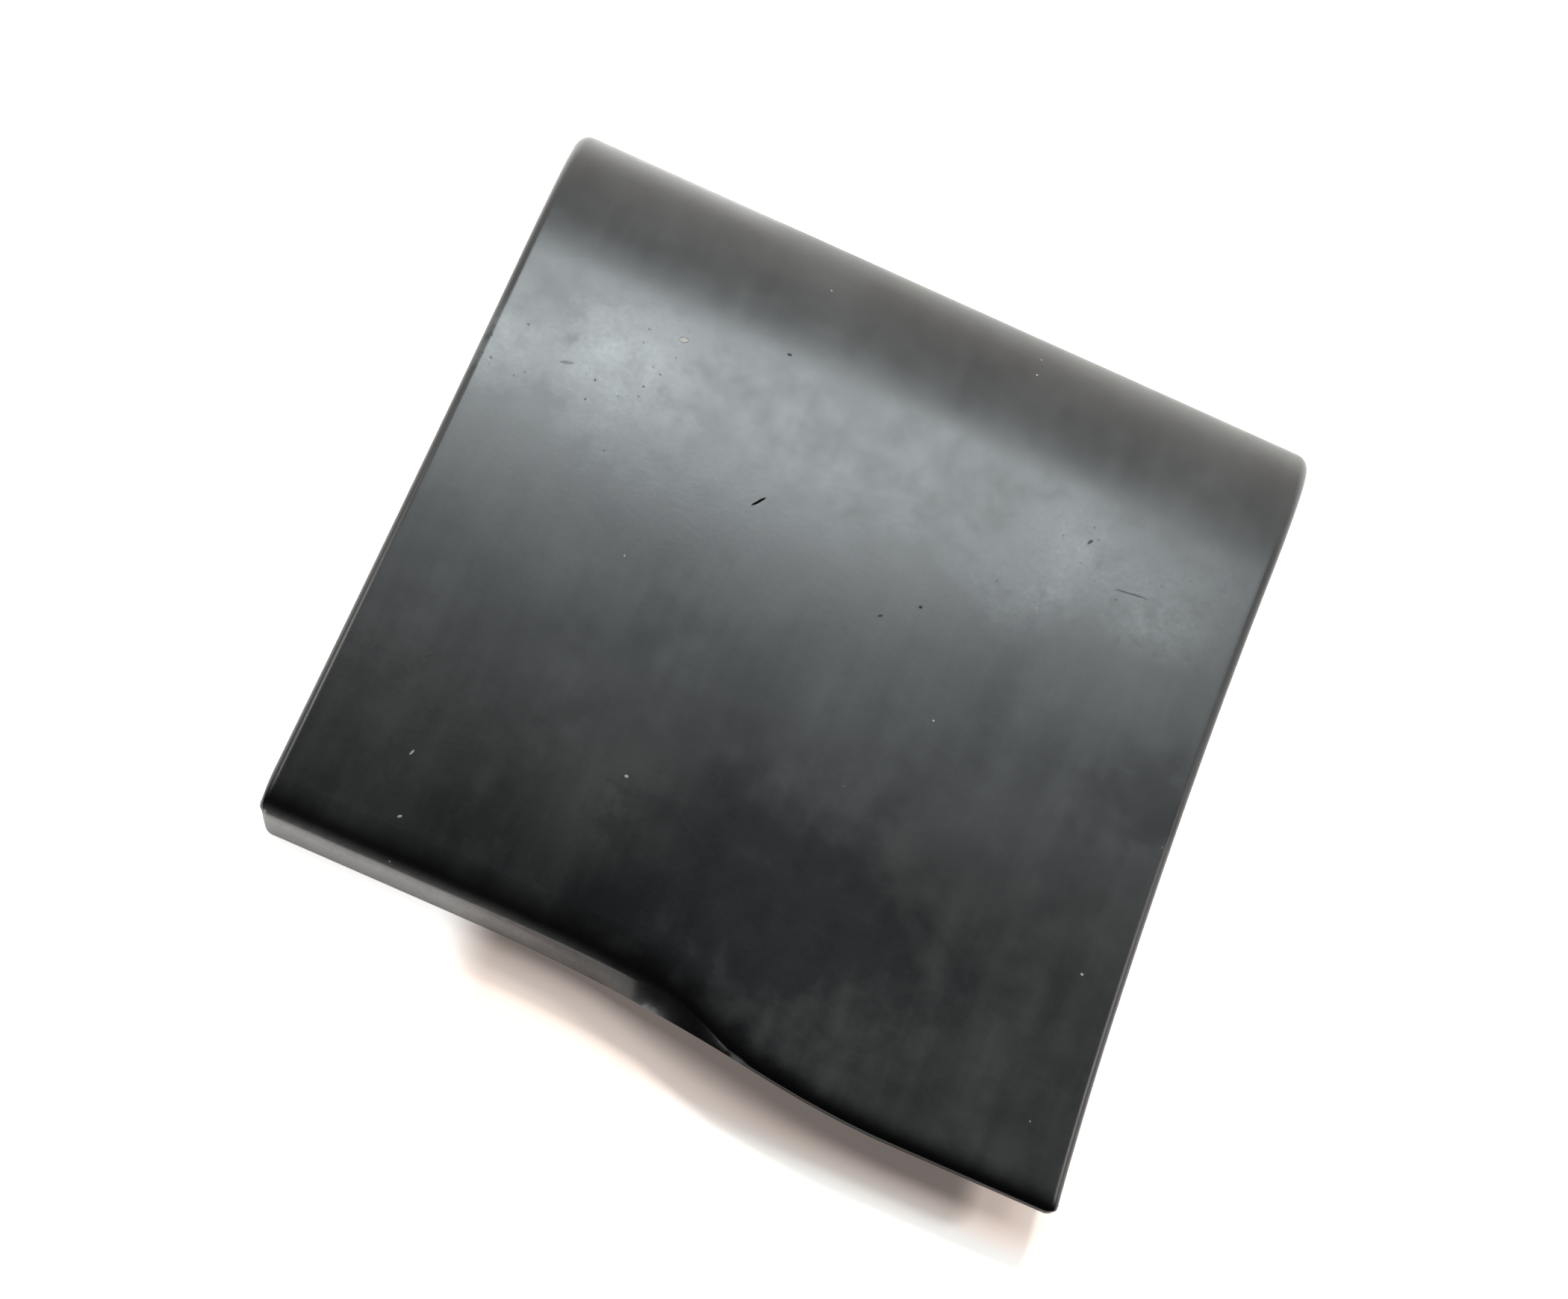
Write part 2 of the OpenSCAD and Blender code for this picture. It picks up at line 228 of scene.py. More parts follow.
class CoverSizes(bpy.types.PropertyGroup):
    module_length: length("Module length", (COVER_HIGH.x - COVER_LOW.x) / MM, "Length along the road")
    travel: length("Travel", (COVER_HIGH.y - COVER_LOW.y) / MM, "Size from the toe to the nose")
    height: length("Height", COVER_HIGH.z / MM, "Height of the crest above the road")
    crest_back: length("Crest back", 90, "Distance from the rear edge to the crest")
    lip_height: length("Lip height", 19, "Height of the ramp above the front lip")
    nose_foot: length("Nose foot", 8, "Height of the upright foot under the nose")
    toe_reach: length("Toe reach", 22, "How much further the toe reaches at the right-hand end")
    toe_lift: length("Toe lift", 15, "Height of the toe's underside at the right-hand end")
    toe_curl: length("Toe curl", 5, "How far the right-hand end of the toe curls up")
    curl_depth: length("Curl depth", 90, "Depth of the curl, behind the toe's edge")
    toe_from: length_share("Toe from", 0.27, 0.2, 0.35, "Where along the length the toe starts to run out")
    toe_to: length_share("Toe to", 0.8, 0.72, 0.88, "Where along the length the toe is fully out")
    toe_lag: length_share("Toe lag", 0.08, 0, 0.1, "How far along the length the lift lags the middle")
    fold_from: length_share("Fold from", 0.5, 0.44, 0.54, "Where along the length the fold leaves the lip")
    fold_to: length_share("Fold to", 0.68, 0.62, 0.74, "Where along the length the fold would be fully out")
    fold_softness: length("Fold softness", 3, "How far the fold's bend runs down the front wall")
    fold_stretch: bpy.props.FloatProperty(
        name="Fold stretch", default=5, min=2, max=6,
        description="How many times further the bend runs up the ramp")
    front_corner: length("Front corner", 5, "Radius of the two front corners in plan")
    rear_corner: length("Rear corner", 8, "Radius of the two rear corners in plan")
    edge_radius: length("Edge radius", 4, "Radius of the top edge along both sides")
    left_bow: length("Left bow", 2, "How far the left-hand side bows inwards")
    right_bow: length("Right bow", 7.5, "How far the right-hand side bows inwards")
    left_tuck: length("Left tuck", 5, "How far the left-hand side leans in under its edge")
    right_tuck: length("Right tuck", 3, "How far the right-hand side leans in under its edge")
    rim_height: length("Rim height", COVER_LOW.z / MM, "Height of the cover's rim above the road")
    toe_root: length("Toe root", 4, "Setback of the front wall from the lip, under the toe")
    rim_step: length("Rim step", 2, "Least step between two points of the rim")
    wall: length("Wall", 8, "Thickness of the cover over the core")
    side_wall: length("Side wall", 7, "Least thickness of the side walls at the road")
    front_wall: length("Front wall", 11, "Thickness of the front wall at the road")
    draft: length("Draft", 1.5, "Draft of the cavity's walls")
    link_front: position("Link front", FRONT_LINK_Y, "Place of the front link sleeve")
    link_rear: position("Link rear", REAR_LINK_Y, "Place of the rear link sleeve")
    link_height: length("Link height", LINK_Z / MM, "Height of the link sleeves' axis")
    link_radius: length(
        "Link radius", LINK_RADIUS / MM + LINK_SPACE, "Radius of the holes for the link sleeves")
    sag: length("Sag", 0.15, "Depth of the soft hollows that moulding leaves in the top")


class CoverColours(bpy.types.PropertyGroup):
    rubber: colour("Rubber", "#070708", "Colour of the moulded rubber")
    bloom: colour("Bloom", "#2a2b2b", "Colour of the rubber under its thin grey bloom")
    # The lip's paler colour is partly its ground face and partly a painted reflection of the lit floor
    buffed: colour("Buffed edge", "#a2a09f", "Colour of the lip where the moulding flash was ground off")
    chalk: colour("Chalk", "#8b9294", "Colour of the thicker bloom on the crest")
    # This pale colour is thick bloom that also paints brighter spots into the crest's highlight
    dust: colour("Dust", "#8f8d86", "Colour of the fine dust on the top")


class FixingColours(bpy.types.PropertyGroup):
    crumb: colour("Crumb", "#242321", "Colour of the pressed rubber crumb")
    fleck: colour("Fleck", "#5b574f", "Colour of the paler crumbs")
    zinc: colour("Zinc", "#b9bcc0", "Colour of the zinc plating")
    butyl: colour("Butyl", "#2c2a28", "Colour of the butyl strips")


# ---------------------------------------------------------------- materials

def new_material(name):
    """Starts a material and returns its tree, its Principled shader and its Object coordinates."""
    material = bpy.data.materials.new(name)
    material.use_nodes = True
    tree = material.node_tree
    shader = tree.nodes["Principled BSDF"]
    place = add_node(tree, "ShaderNodeTexCoord").outputs["Object"]
    return material, tree, shader, place


# Patches of the top that are made paler or darker, each as x, y and radius in millimetres, and an amount:
# paler above zero, darker below it
TONE_PATCHES = ((17, -34, 30, 0.5), (-45, -106, 42, 0.8), (-111, -29, 30, 0.3), (-160, -95, 80, 0.7),
          (150, -20, 36, -0.6), (30, -130, 85, -1.2), (-90, 15, 50, -0.5))
# Pale chalky blotches near the crest, in the same way, which also paint brighter spots into the highlight
CHALK_AND_HIGHLIGHT = ((-112, 58, 38, 0.45), (-162, 58, 40, 0.5), (70, 70, 40, 0.2), (128, 60, 44, 0.24))
# Small marks, each as x, y, length and width in millimetres, a turn in degrees, and an amount
MARKS = ((-42, 34, 7, 1.1, 55, -1.0), (-97, 90, 4, 2.5, 20, 0.7), (36, 20, 1.8, 1.5, 0, -0.8),
         (22, 9, 2.2, 1.2, 40, -0.7), (92, 81, 3.0, 1.2, 60, -0.8), (116, 66, 14, 0.8, 8, -0.6),
         (-137, 57, 6, 1.6, 20, -0.25), (-54, 105, 2.0, 1.5, 0, -0.7), (151, -97, 1.3, 1.0, 0, 1.0),
         (-128, -124, 2.6, 0.7, 70, 0.8), (-122, -149, 2.0, 1.0, 30, 0.8), (-47, -98, 1.5, 1.2, 0, 0.8))


def moulded_rubber(colours):
    """EPDM rubber from a smooth steel mould: near black, with a soft sheen that a grey bloom clouds."""
    material, tree, shader, place = new_material("moulded_rubber")
    # Clouds of bloom 40 to 90 mm across
    clouds = add_node(tree, "ShaderNodeTexNoise", {}, {
        "Vector": place, "Scale": 17.0, "Detail": 3.0, "Roughness": 0.5})
    # Ragged blotches 5 to 15 mm across
    ragged = add_node(tree, "ShaderNodeTexNoise", {}, {
        "Vector": place, "Scale": 90.0, "Detail": 4.0, "Roughness": 0.6})
    # Scuffs 1 to 3 mm across
    mottle = add_node(tree, "ShaderNodeTexNoise", {}, {
        "Vector": place, "Scale": 420.0, "Detail": 3.0, "Roughness": 0.6})
    # Flow streaks along the travel, 10 to 20 mm apart and some 100 mm long
    along = add_node(tree, "ShaderNodeMapping", {}, {"Vector": place, "Scale": (70.0, 9.0, 20.0)})
    streaks = add_node(tree, "ShaderNodeTexNoise", {}, {
        "Vector": along, "Scale": 1.0, "Detail": 3.0, "Roughness": 0.6})
    # Dust specks up to 1 mm across, at most one to each 12 mm
    cells = add_node(tree, "ShaderNodeTexVoronoi", {}, {"Vector": place, "Scale": 85.0})
    pick = add_node(tree, "ShaderNodeSeparateColor", {}, {"Color": cells.outputs["Color"]})
    # Pits up to 1 mm across, at most one to each 4 mm
    pores = add_node(tree, "ShaderNodeTexVoronoi", {}, {"Vector": place, "Scale": 260.0})
    fate = add_node(tree, "ShaderNodeSeparateColor", {}, {"Color": pores.outputs["Color"]})
    point = add_node(tree, "ShaderNodeSeparateXYZ", {}, {0: place})
    edge = add_node(tree, "ShaderNodeAttribute", {"attribute_name": "buffed"})
    # Painted shade: this mask keeps the bloom off the fold so that it stays dark, and makes the fold
    # smoother
    bent = add_node(tree, "ShaderNodeAttribute", {"attribute_name": "bent"})
    top = add_node(tree, "ShaderNodeAttribute", {"attribute_name": "top"})
    names = {"clouds": clouds.outputs[0], "ragged": ragged.outputs[0], "mottle": mottle.outputs[0],
             "streaks": streaks.outputs[0], "cell": cells.outputs["Distance"], "pick": pick.outputs[0],
             "tone": pick.outputs[1], "pore": pores.outputs["Distance"], "fate": fate.outputs[0],
             "x": point.outputs[0], "y": point.outputs[1], "edge": edge.outputs["Fac"],
             "bent": bent.outputs["Fac"], "top": top.outputs["Fac"]}

    for total, spots in (("patch", TONE_PATCHES), ("blotch", CHALK_AND_HIGHLIGHT)):
        names["sum"] = 0.0
        for x, y, radius, amount in spots:
            names.update(px=x * MM, py=y * MM, radius=radius * MM, amount=amount)
            formula(tree, names, """
                away = sqrt((x - px) ** 2 + (y - py) ** 2) + 0.09 * (clouds - 0.5) + 0.05 * (ragged - 0.5)
                sum = sum + amount * ease(radius, 0, away)""")
        names[total] = names["sum"]
    names["mark"] = 0.0
    for x, y, long, wide, turn, amount in MARKS:
        names.update(px=x * MM, py=y * MM, long=long * MM / 2, wide=wide * MM / 2, amount=amount)
        names.update(c=math.cos(math.radians(turn)), s=math.sin(math.radians(turn)))
        formula(tree, names, """
            a = ((x - px) * c + (y - py) * s) / long
            b = ((y - py) * c - (x - px) * s) / wide
            mark = mark + amount * share(1.3, 0.7, a ** 2 + b ** 2 + 2 * mottle - 1)""")
    # Speck and mark are dust and scratches. Worn is the thin bloom, made paler or darker by the patches and
    # kept off the fold as painted shade. Chalk is thick bloom that also paints brighter spots into the
    # highlight, and face is the ground lip with the lit floor's reflection painted into it.
    formula(tree, names, """
        speck = share(0.05, 0.025, cell) * below(0.88, pick) * (0.3 + 0.7 * tone)
        pale = max(speck, mark) * top
        dark = max(0, 0 - mark) * top
        bloom = 0.65 * share(0.35, 0.7, clouds) + 0.4 * share(0.35, 0.75, streaks) + patch * top
        worn = max(0, bloom) * (0.6 + 0.8 * ragged) * (0.8 + 0.4 * mottle) * (1 - bent)
        chalk = blotch * (0.1 + 0.9 * share(0.35, 0.65, ragged)) * (0.3 + 1.4 * mottle) * top
        pit = share(0.16, 0.08, pore) * below(0.72, fate) * share(0, 0.4, blotch)
        dark = max(dark, 0.6 * pit * top)
        surface = 0.31 + 0.12 * (clouds - 0.5) + 0.08 * (streaks - 0.5) + 0.14 * (ragged - 0.5)
        rough = max(max(surface, 0.285) - 0.13 * bent, 0.6 * edge) + 0.2 * pale + 0.3 * dark
        face = edge * (0.7 + 0.6 * ragged) * (0.7 + 0.6 * mottle)
        relief = 0.7 * mottle + 0.15 * streaks + 0.6 * ragged + 3 * pale - pit""")
    base = add_node(tree, "ShaderNodeMix", {"data_type": "RGBA"}, {
        0: names["worn"], 6: (*colours.rubber, 1), 7: (*colours.bloom, 1)}).outputs[2]
    # Chalky bloom, which also paints brighter spots into the crest's highlight
    base = add_node(tree, "ShaderNodeMix", {"data_type": "RGBA"}, {
        0: names["chalk"], 6: base, 7: (*colours.chalk, 1)}).outputs[2]
    # The ground lip, with the lit floor's reflection painted into its face
    base = add_node(tree, "ShaderNodeMix", {"data_type": "RGBA"}, {
        0: names["face"], 6: base, 7: (*colours.buffed, 1)}).outputs[2]
    base = add_node(tree, "ShaderNodeMix", {"data_type": "RGBA"}, {
        0: names["pale"], 6: base, 7: (*colours.dust, 1)}).outputs[2]
    tree.links.new(base, shader.inputs["Base Color"])
    tree.links.new(names["rough"], shader.inputs["Roughness"])
    dull = formula(tree, names, "dull = 0.5 * (1 - dark)")
    tree.links.new(dull, shader.inputs["Specular IOR Level"])
    bump = add_node(tree, "ShaderNodeBump", {}, {
        "Height": names["relief"], "Distance": 0.00006, "Strength": 0.6})
    tree.links.new(bump.outputs[0], shader.inputs["Normal"])
    shader.inputs["IOR"].default_value = 1.52
    return material


def pressed_crumb(colours):
    """Rubber crumb of 1 to 4 mm pressed with binder: matt, uneven black grains with a few paler ones."""
    material, tree, shader, place = new_material("pressed_crumb")
    grains = add_node(tree, "ShaderNodeTexVoronoi", {}, {"Vector": place, "Scale": 420.0})
    tone = add_node(tree, "ShaderNodeSeparateColor", {}, {"Color": grains.outputs["Color"]})
    pale = add_node(tree, "ShaderNodeMapRange", {}, {
        "Value": tone.outputs[0], "From Min": 0.9, "From Max": 0.95})
    shade = add_node(tree, "ShaderNodeMapRange", {}, {
        "Value": tone.outputs[1], "To Min": 0.55, "To Max": 1.25})
    dark = add_node(tree, "ShaderNodeMix", {"data_type": "RGBA", "blend_type": "MULTIPLY"}, {
        0: 1.0, 6: (*colours.crumb, 1), 7: shade}).outputs[2]
    base = add_node(tree, "ShaderNodeMix", {"data_type": "RGBA"}, {
        0: pale, 6: dark, 7: (*colours.fleck, 1)}).outputs[2]
    tree.links.new(base, shader.inputs["Base Color"])
    names = {"grains": grains.outputs["Distance"], "tone": tone.outputs[2]}
    tree.links.new(formula(tree, names, "rough = 0.72 + 0.2 * tone"), shader.inputs["Roughness"])
    relief = formula(tree, names, "relief = tone - grains * 1.3")
    bump = add_node(tree, "ShaderNodeBump", {}, {"Height": relief, "Distance": 0.0006, "Strength": 0.8})
    tree.links.new(bump.outputs[0], shader.inputs["Normal"])
    shader.inputs["Specular IOR Level"].default_value = 0.35
    return material


def zinc_plate(name, colours, lines, spread):
    """Steel under bright zinc: pale grey, with the fine lines of how it was drawn, rolled or turned."""
    material, tree, shader, place = new_material(name)
    stretch = add_node(tree, "ShaderNodeMapping", {}, {"Vector": place, "Scale": lines})
    drawn = add_node(tree, "ShaderNodeTexNoise", {}, {"Vector": stretch, "Scale": 1.0, "Detail": 3.0})
    # Patches of passivation 8 to 15 mm across
    patches = add_node(tree, "ShaderNodeTexNoise", {}, {"Vector": place, "Scale": 90.0, "Detail": 3.0})
    tint = add_node(tree, "ShaderNodeMapRange", {}, {
        "Value": patches, "From Min": 0.3, "From Max": 0.7, "To Min": 0.78, "To Max": 1.05})
    base = add_node(tree, "ShaderNodeMix", {"data_type": "RGBA", "blend_type": "MULTIPLY"}, {
        0: 1.0, 6: (*colours.zinc, 1), 7: tint}).outputs[2]
    tree.links.new(base, shader.inputs["Base Color"])
    names = {"drawn": drawn.outputs[0], "patches": patches.outputs[0]}
    rough = formula(tree, names, f"rough = {spread} + 0.14 * patches + 0.12 * drawn")
    tree.links.new(rough, shader.inputs["Roughness"])
    bump = add_node(tree, "ShaderNodeBump", {}, {"Height": drawn, "Distance": 0.00005, "Strength": 0.5})
    tree.links.new(bump.outputs[0], shader.inputs["Normal"])
    shader.inputs["Metallic"].default_value = 1.0
    return material


def soft_butyl(colours):
    """Butyl sealing strip: a soft, tacky, dark strip with shallow finger-wide waves and a dull shine."""
    material, tree, shader, place = new_material("soft_butyl")
    waves = add_node(tree, "ShaderNodeTexNoise", {}, {"Vector": place, "Scale": 70.0, "Detail": 2.0})
    lint = add_node(tree, "ShaderNodeTexNoise", {}, {"Vector": place, "Scale": 900.0, "Detail": 3.0})
    tint = add_node(tree, "ShaderNodeMapRange", {}, {"Value": lint, "To Min": 0.7, "To Max": 1.4})
    base = add_node(tree, "ShaderNodeMix", {"data_type": "RGBA", "blend_type": "MULTIPLY"}, {
        0: 1.0, 6: (*colours.butyl, 1), 7: tint}).outputs[2]
    tree.links.new(base, shader.inputs["Base Color"])
    names = {"waves": waves.outputs[0], "lint": lint.outputs[0]}
    tree.links.new(formula(tree, names, "rough = 0.42 + 0.25 * lint"), shader.inputs["Roughness"])
    relief = formula(tree, names, "relief = waves + 0.15 * lint")
    bump = add_node(tree, "ShaderNodeBump", {}, {"Height": relief, "Distance": 0.0008, "Strength": 0.7})
    tree.links.new(bump.outputs[0], shader.inputs["Normal"])
    return material


# ---------------------------------------------------------------- the cover

# The block that becomes the cover: u runs from 0 to 1 along the road, v from the toe to the nose, and w up.
# The shares say how much of u goes to each rounded end, and at which v the fold, the toe, the root of the
# front wall and the ramp end.
COVER_SHAPE = """
    end_share = 0.0625
    fold_end = 0.0625
    toe_end = 0.09375
    root_end = 0.125
    ramp_end = 0.625
    u = px + 0.5
    v = py + 0.5
    w = pz + 0.5
    rear = travel / 2
    crest = rear - crest_back
    lip = toe_reach - rear
    bend = (height - lip_height) / (crest - lip) ** 2
    across = share(end_share, 1 - end_share, u)
    edge_share = edge_radius / module_length
    s = mix(edge_share, 1 - edge_share, across)
    toe_out = ease(toe_from, toe_to, s)
    toe_y = lip - toe_reach * toe_out
    toe_z = mix(rim_height, toe_lift, ease(toe_from, (toe_from + toe_to) / 2 + toe_lag, s))
    fold_y = lip - toe_reach * min(toe_out, ease(fold_from, fold_to, s))
    curl = toe_curl * toe_out
    fold_curl = max(0, curl_depth - rear - fold_y) / curl_depth
    fold_z = height - bend * (crest - fold_y) ** 2 + curl * fold_curl ** 2
    fold_slope = 2 * bend * (crest - fold_y) - 2 * curl * fold_curl / curl_depth
    face = sqrt((fold_y - toe_y) ** 2 + (fold_z - toe_z) ** 2)
    soft = min(fold_softness, 0.6 * face)
    down_y = fold_y + (toe_y - fold_y) / face * soft
    down_z = fold_z + (toe_z - fold_z) / face * soft
    up_y = fold_y + soft * fold_stretch / sqrt(1 + fold_slope ** 2)
    up_curl = max(0, curl_depth - rear - up_y) / curl_depth
    up_z = height - bend * (crest - up_y) ** 2 + curl * up_curl ** 2
    root = max(lip + toe_root, toe_y + rim_step)
    shoulder = max(root + rim_step, up_y + 2 * rim_step)
    fold_share = share(0, fold_end, v)
    over_toe = share(fold_end, toe_end, v)
    over_root = share(toe_end, root_end, v)
    ramp_share = share(root_end, ramp_end, v)
    nose_turn = quarter_turn * share(ramp_end, 1, v)
    ramp_y = up_y + (shoulder - rim_step - up_y) * over_toe + rim_step * over_root
    ramp_y = ramp_y + (crest - shoulder) * ramp_share
    ramp_curl = max(0, curl_depth - rear - ramp_y) / curl_depth
    ramp_z = height - bend * (crest - ramp_y) ** 2 + curl * ramp_curl ** 2
    keep = 1 - fold_share
    both = 2 * fold_share * keep
    bent_y = down_y * keep ** 2 + fold_y * both + up_y * fold_share ** 2
    top_y = bent_y + ramp_y - up_y + crest_back * sin(nose_turn)
    bent_z = down_z * keep ** 2 + fold_z * both + up_z * fold_share ** 2
    top_z = bent_z + ramp_z - up_z + (height - nose_foot) * (cos(nose_turn) - 1)
    fold_rise = keep * (fold_z - down_z) + fold_share * (up_z - fold_z)
    fold_run = keep * (fold_y - down_y) + fold_share * (up_y - fold_y)
    up_slope = 2 * bend * (crest - up_y) - 2 * curl * up_curl / curl_depth
    ramp_slope = 2 * bend * (crest - ramp_y) - 2 * curl * ramp_curl / curl_depth
    ramp_lean = atan2(ramp_slope, 1) - atan2(up_slope, 1)
    nose_lean = atan2((nose_foot - height) * sin(nose_turn), crest_back * cos(nose_turn))
    lean = atan2(fold_rise, fold_run) + ramp_lean + nose_lean
    out_y = 0 - sin(lean)
    out_z = cos(lean)
    corner = mix(rear_corner, front_corner, below(out_y, 0))
    radius = mix(edge_radius, corner, out_y ** 2)
    left_turn = quarter_turn * share(0, end_share, u)
    right_turn = quarter_turn * share(0, end_share, 1 - u)
    end_close = 1 - sin(min(left_turn, right_turn))
    wall_lean = atan2(fold_z - toe_z, fold_y - toe_y)
    wall_close = end_close * mix(edge_radius, front_corner, sin(wall_lean) ** 2)
    edge_y = toe_y + sin(wall_lean) * wall_close
    edge_z = toe_z - cos(wall_lean) * wall_close
    under_y = edge_y + (root - edge_y) * share(0, toe_end, v) + rim_step * over_root
    base_y = under_y + (rear - rear_corner * end_close - root - rim_step) * share(root_end, 1, v)
    base_z = edge_z + (rim_height - edge_z) * over_root
    room = max(0.8 * (top_z - toe_z), 1 - below(top_y, crest))
    drop = min(out_z * radius, room) * end_close
    sink = sag * hollow
    y = mix(base_y, top_y - out_y * (radius * end_close + sink), w)
    z = mix(base_z, top_z - drop - out_z * sink, w)
    bow = max(0, 1 - (y / (rear - front_corner)) ** 2)
    left_in = left_bow * bow + left_tuck * share(lip_height, 0, z) + radius * (1 - cos(left_turn))
    right_in = right_bow * bow + right_tuck * share(toe_lift, 0, z) + radius * (1 - cos(right_turn))
    x = mix(left_in - module_length / 2, module_length / 2 - right_in, across)
"""

# The block that becomes the hollow for the core, laid out in the same way, from a little below the rim
HOLLOW_SHAPE = """
    ramp_end = 0.5
    below_rim = 0.002
    u = px + 0.5
    v = py + 0.5
    w = pz + 0.5
    rear = travel / 2
    crest = rear - crest_back
    lip = toe_reach - rear
    bend = (height - lip_height) / (crest - lip) ** 2
    front = lip + front_wall
    end_in = max(left_bow + left_tuck, right_bow + right_tuck) + side_wall
    end_x = module_length / 2 - end_in + draft * (1 - w)
    ramp_y = mix(front + draft, crest, share(0, ramp_end, v))
    nose_turn = quarter_turn * share(ramp_end, 1, v)
    top_y = ramp_y + (crest_back - wall) * sin(nose_turn)
    ramp_z = height - bend * (crest - ramp_y) ** 2 - wall
    top_z = ramp_z + (height - wall - nose_foot) * (cos(nose_turn) - 1)
    x = mix(0 - end_x, end_x, u)
    y = mix(mix(front, rear - wall + draft, v), top_y, w)
    z = mix(rim_height - below_rim, top_z, w)
"""


def shaped_block(tree, names, shape, steps):
    """Adds a block of so many steps each way and moves its points as the shape's formulas say."""
    counts = {"Vertices X": steps[0] + 1, "Vertices Y": steps[1] + 1, "Vertices Z": steps[2] + 1}
    block = add_node(tree, "GeometryNodeMeshCube", {}, {"Size": (1.0, 1.0, 1.0), **counts})
    point = add_node(tree, "ShaderNodeSeparateXYZ", {}, {0: add_node(tree, "GeometryNodeInputPosition")})
    own = dict(names, quarter_turn=QUARTER_TURN)
    own.update(px=point.outputs[0], py=point.outputs[1], pz=point.outputs[2])
    formula(tree, own, shape)
    place = add_node(tree, "ShaderNodeCombineXYZ", {}, {0: own["x"], 1: own["y"], 2: own["z"]})
    return add_node(tree, "GeometryNodeSetPosition", {}, {"Geometry": block, "Position": place})


def link_hole(tree, names, place):
    """Adds the rod that cuts the hole for one link sleeve."""
    rod = add_node(tree, "GeometryNodeMeshCylinder", {"fill_type": "NGON"}, {
        "Vertices": 96, "Radius": names["link_radius"], "Depth": 1.0})
    middle = add_node(tree, "ShaderNodeCombineXYZ", {}, {1: place, 2: names["link_height"]})
    return add_node(tree, "GeometryNodeTransform", {}, {
        "Geometry": rod, "Rotation": (0.0, math.pi / 2, 0.0), "Translation": middle})


def cover_tree(sizes, material):
    """The moulding's skin, its hollow and its holes, from the same sizes as the solid."""
    tree, names = new_tree("Rubber cover", sizes)
    place = add_node(tree, "GeometryNodeInputPosition")
    # Soft hollows some 300 mm apart, where W is the seed
    hollow = add_node(tree, "ShaderNodeTexNoise", {"noise_dimensions": "4D"}, {
        "Vector": place, "W": 3.0, "Scale": 3.5, "Detail": 1.0})
    names["hollow"] = hollow.outputs[0]
    skin = shaped_block(tree, names, COVER_SHAPE, COVER_STEPS)
    hollow_block = shaped_block(tree, names, HOLLOW_SHAPE, HOLLOW_STEPS)
    front_hole = link_hole(tree, names, names["link_front"])
    rear_hole = link_hole(tree, names, names["link_rear"])
    cut = add_node(tree, "GeometryNodeMeshBoolean", {"operation": "DIFFERENCE", "solver": "EXACT"}, {
        "Mesh 1": skin})
    for tool in (hollow_block, front_hole, rear_hole):
        tree.links.new(tool.outputs[0], cut.inputs["Mesh 2"])
    smooth = add_node(tree, "GeometryNodeSetShadeSmooth", {"domain": "FACE"}, {0: cut.outputs[0]})
    edge_angle = add_node(tree, "GeometryNodeInputMeshEdgeAngle")
    sharp = add_node(tree, "FunctionNodeCompare", {"operation": "GREATER_THAN"}, {
        0: edge_angle, 1: math.radians(SHARP_ANGLE)})
    creased = add_node(tree, "GeometryNodeSetShadeSmooth", {"domain": "EDGE"}, {
        0: smooth, "Selection": sharp, "Shade Smooth": False})
    # The lip's face is ground, and painted paler with the lit floor's reflection, fading to the right, where
    # the floor before it is in shadow, and upwards. The fold is kept bare of bloom as painted shade, and
    # bloom lies on the top. The normal tells them apart.
    facing = add_node(tree, "ShaderNodeSeparateXYZ", {}, {0: add_node(tree, "GeometryNodeInputNormal")})
    point = add_node(tree, "ShaderNodeSeparateXYZ", {}, {0: add_node(tree, "GeometryNodeInputPosition")})
    names.update(facing=facing.outputs[1], upward=facing.outputs[2])
    names.update(x=point.outputs[0], y=point.outputs[1], z=point.outputs[2])
    formula(tree, names, """
        front = ease(0.35, 0.9, 0 - facing) * share(0.14, 0.15, 0 - y)
        buffed = front * ease(0.02, 0 - 0.11, x) * mix(1, 0.4, ease(0.01, 0.017, z))
        bent = ease(0.1, 0.4, 0 - facing)
        top = share(0.4, 0.8, upward)""")
    kept = creased
    for attribute in ("buffed", "bent", "top"):
        kept = add_node(
            tree, "GeometryNodeStoreNamedAttribute", {"data_type": "FLOAT", "domain": "POINT"},
            {"Geometry": kept, "Name": attribute, "Value": names[attribute]})
    end_tree(tree, kept, material)
    return tree


class BUMP_OT_cover(bpy.types.Operator):
    """Builds the moulded rubber cover with its ramp, nose, lip and lifted toe"""
    bl_idname = "bump.cover"
    bl_label = "Rubber cover"

    def execute(self, context):
        sizes = sizes_of(context.scene.bump_cover)
        material = moulded_rubber(context.scene.bump_cover_colours)
        make_piece("moulded_cover", cover_tree(sizes, material), sizes, ["rubber_cover"])
        return {"FINISHED"}


# ---------------------------------------------------------------- what the cover holds

def finish_node(node, material):
    """Gives a CAD node that keeps its own shape its real finish."""
    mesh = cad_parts[node].data
    mesh.materials.clear()
    mesh.materials.append(material)


class BUMP_OT_core(bpy.types.Operator):
    """Gives the pressed crumb core its grains"""
    bl_idname = "bump.core"
    bl_label = "Crumb core"

    def execute(self, context):
        finish_node("crumb_core", pressed_crumb(context.scene.bump_fixing_colours))
        return {"FINISHED"}


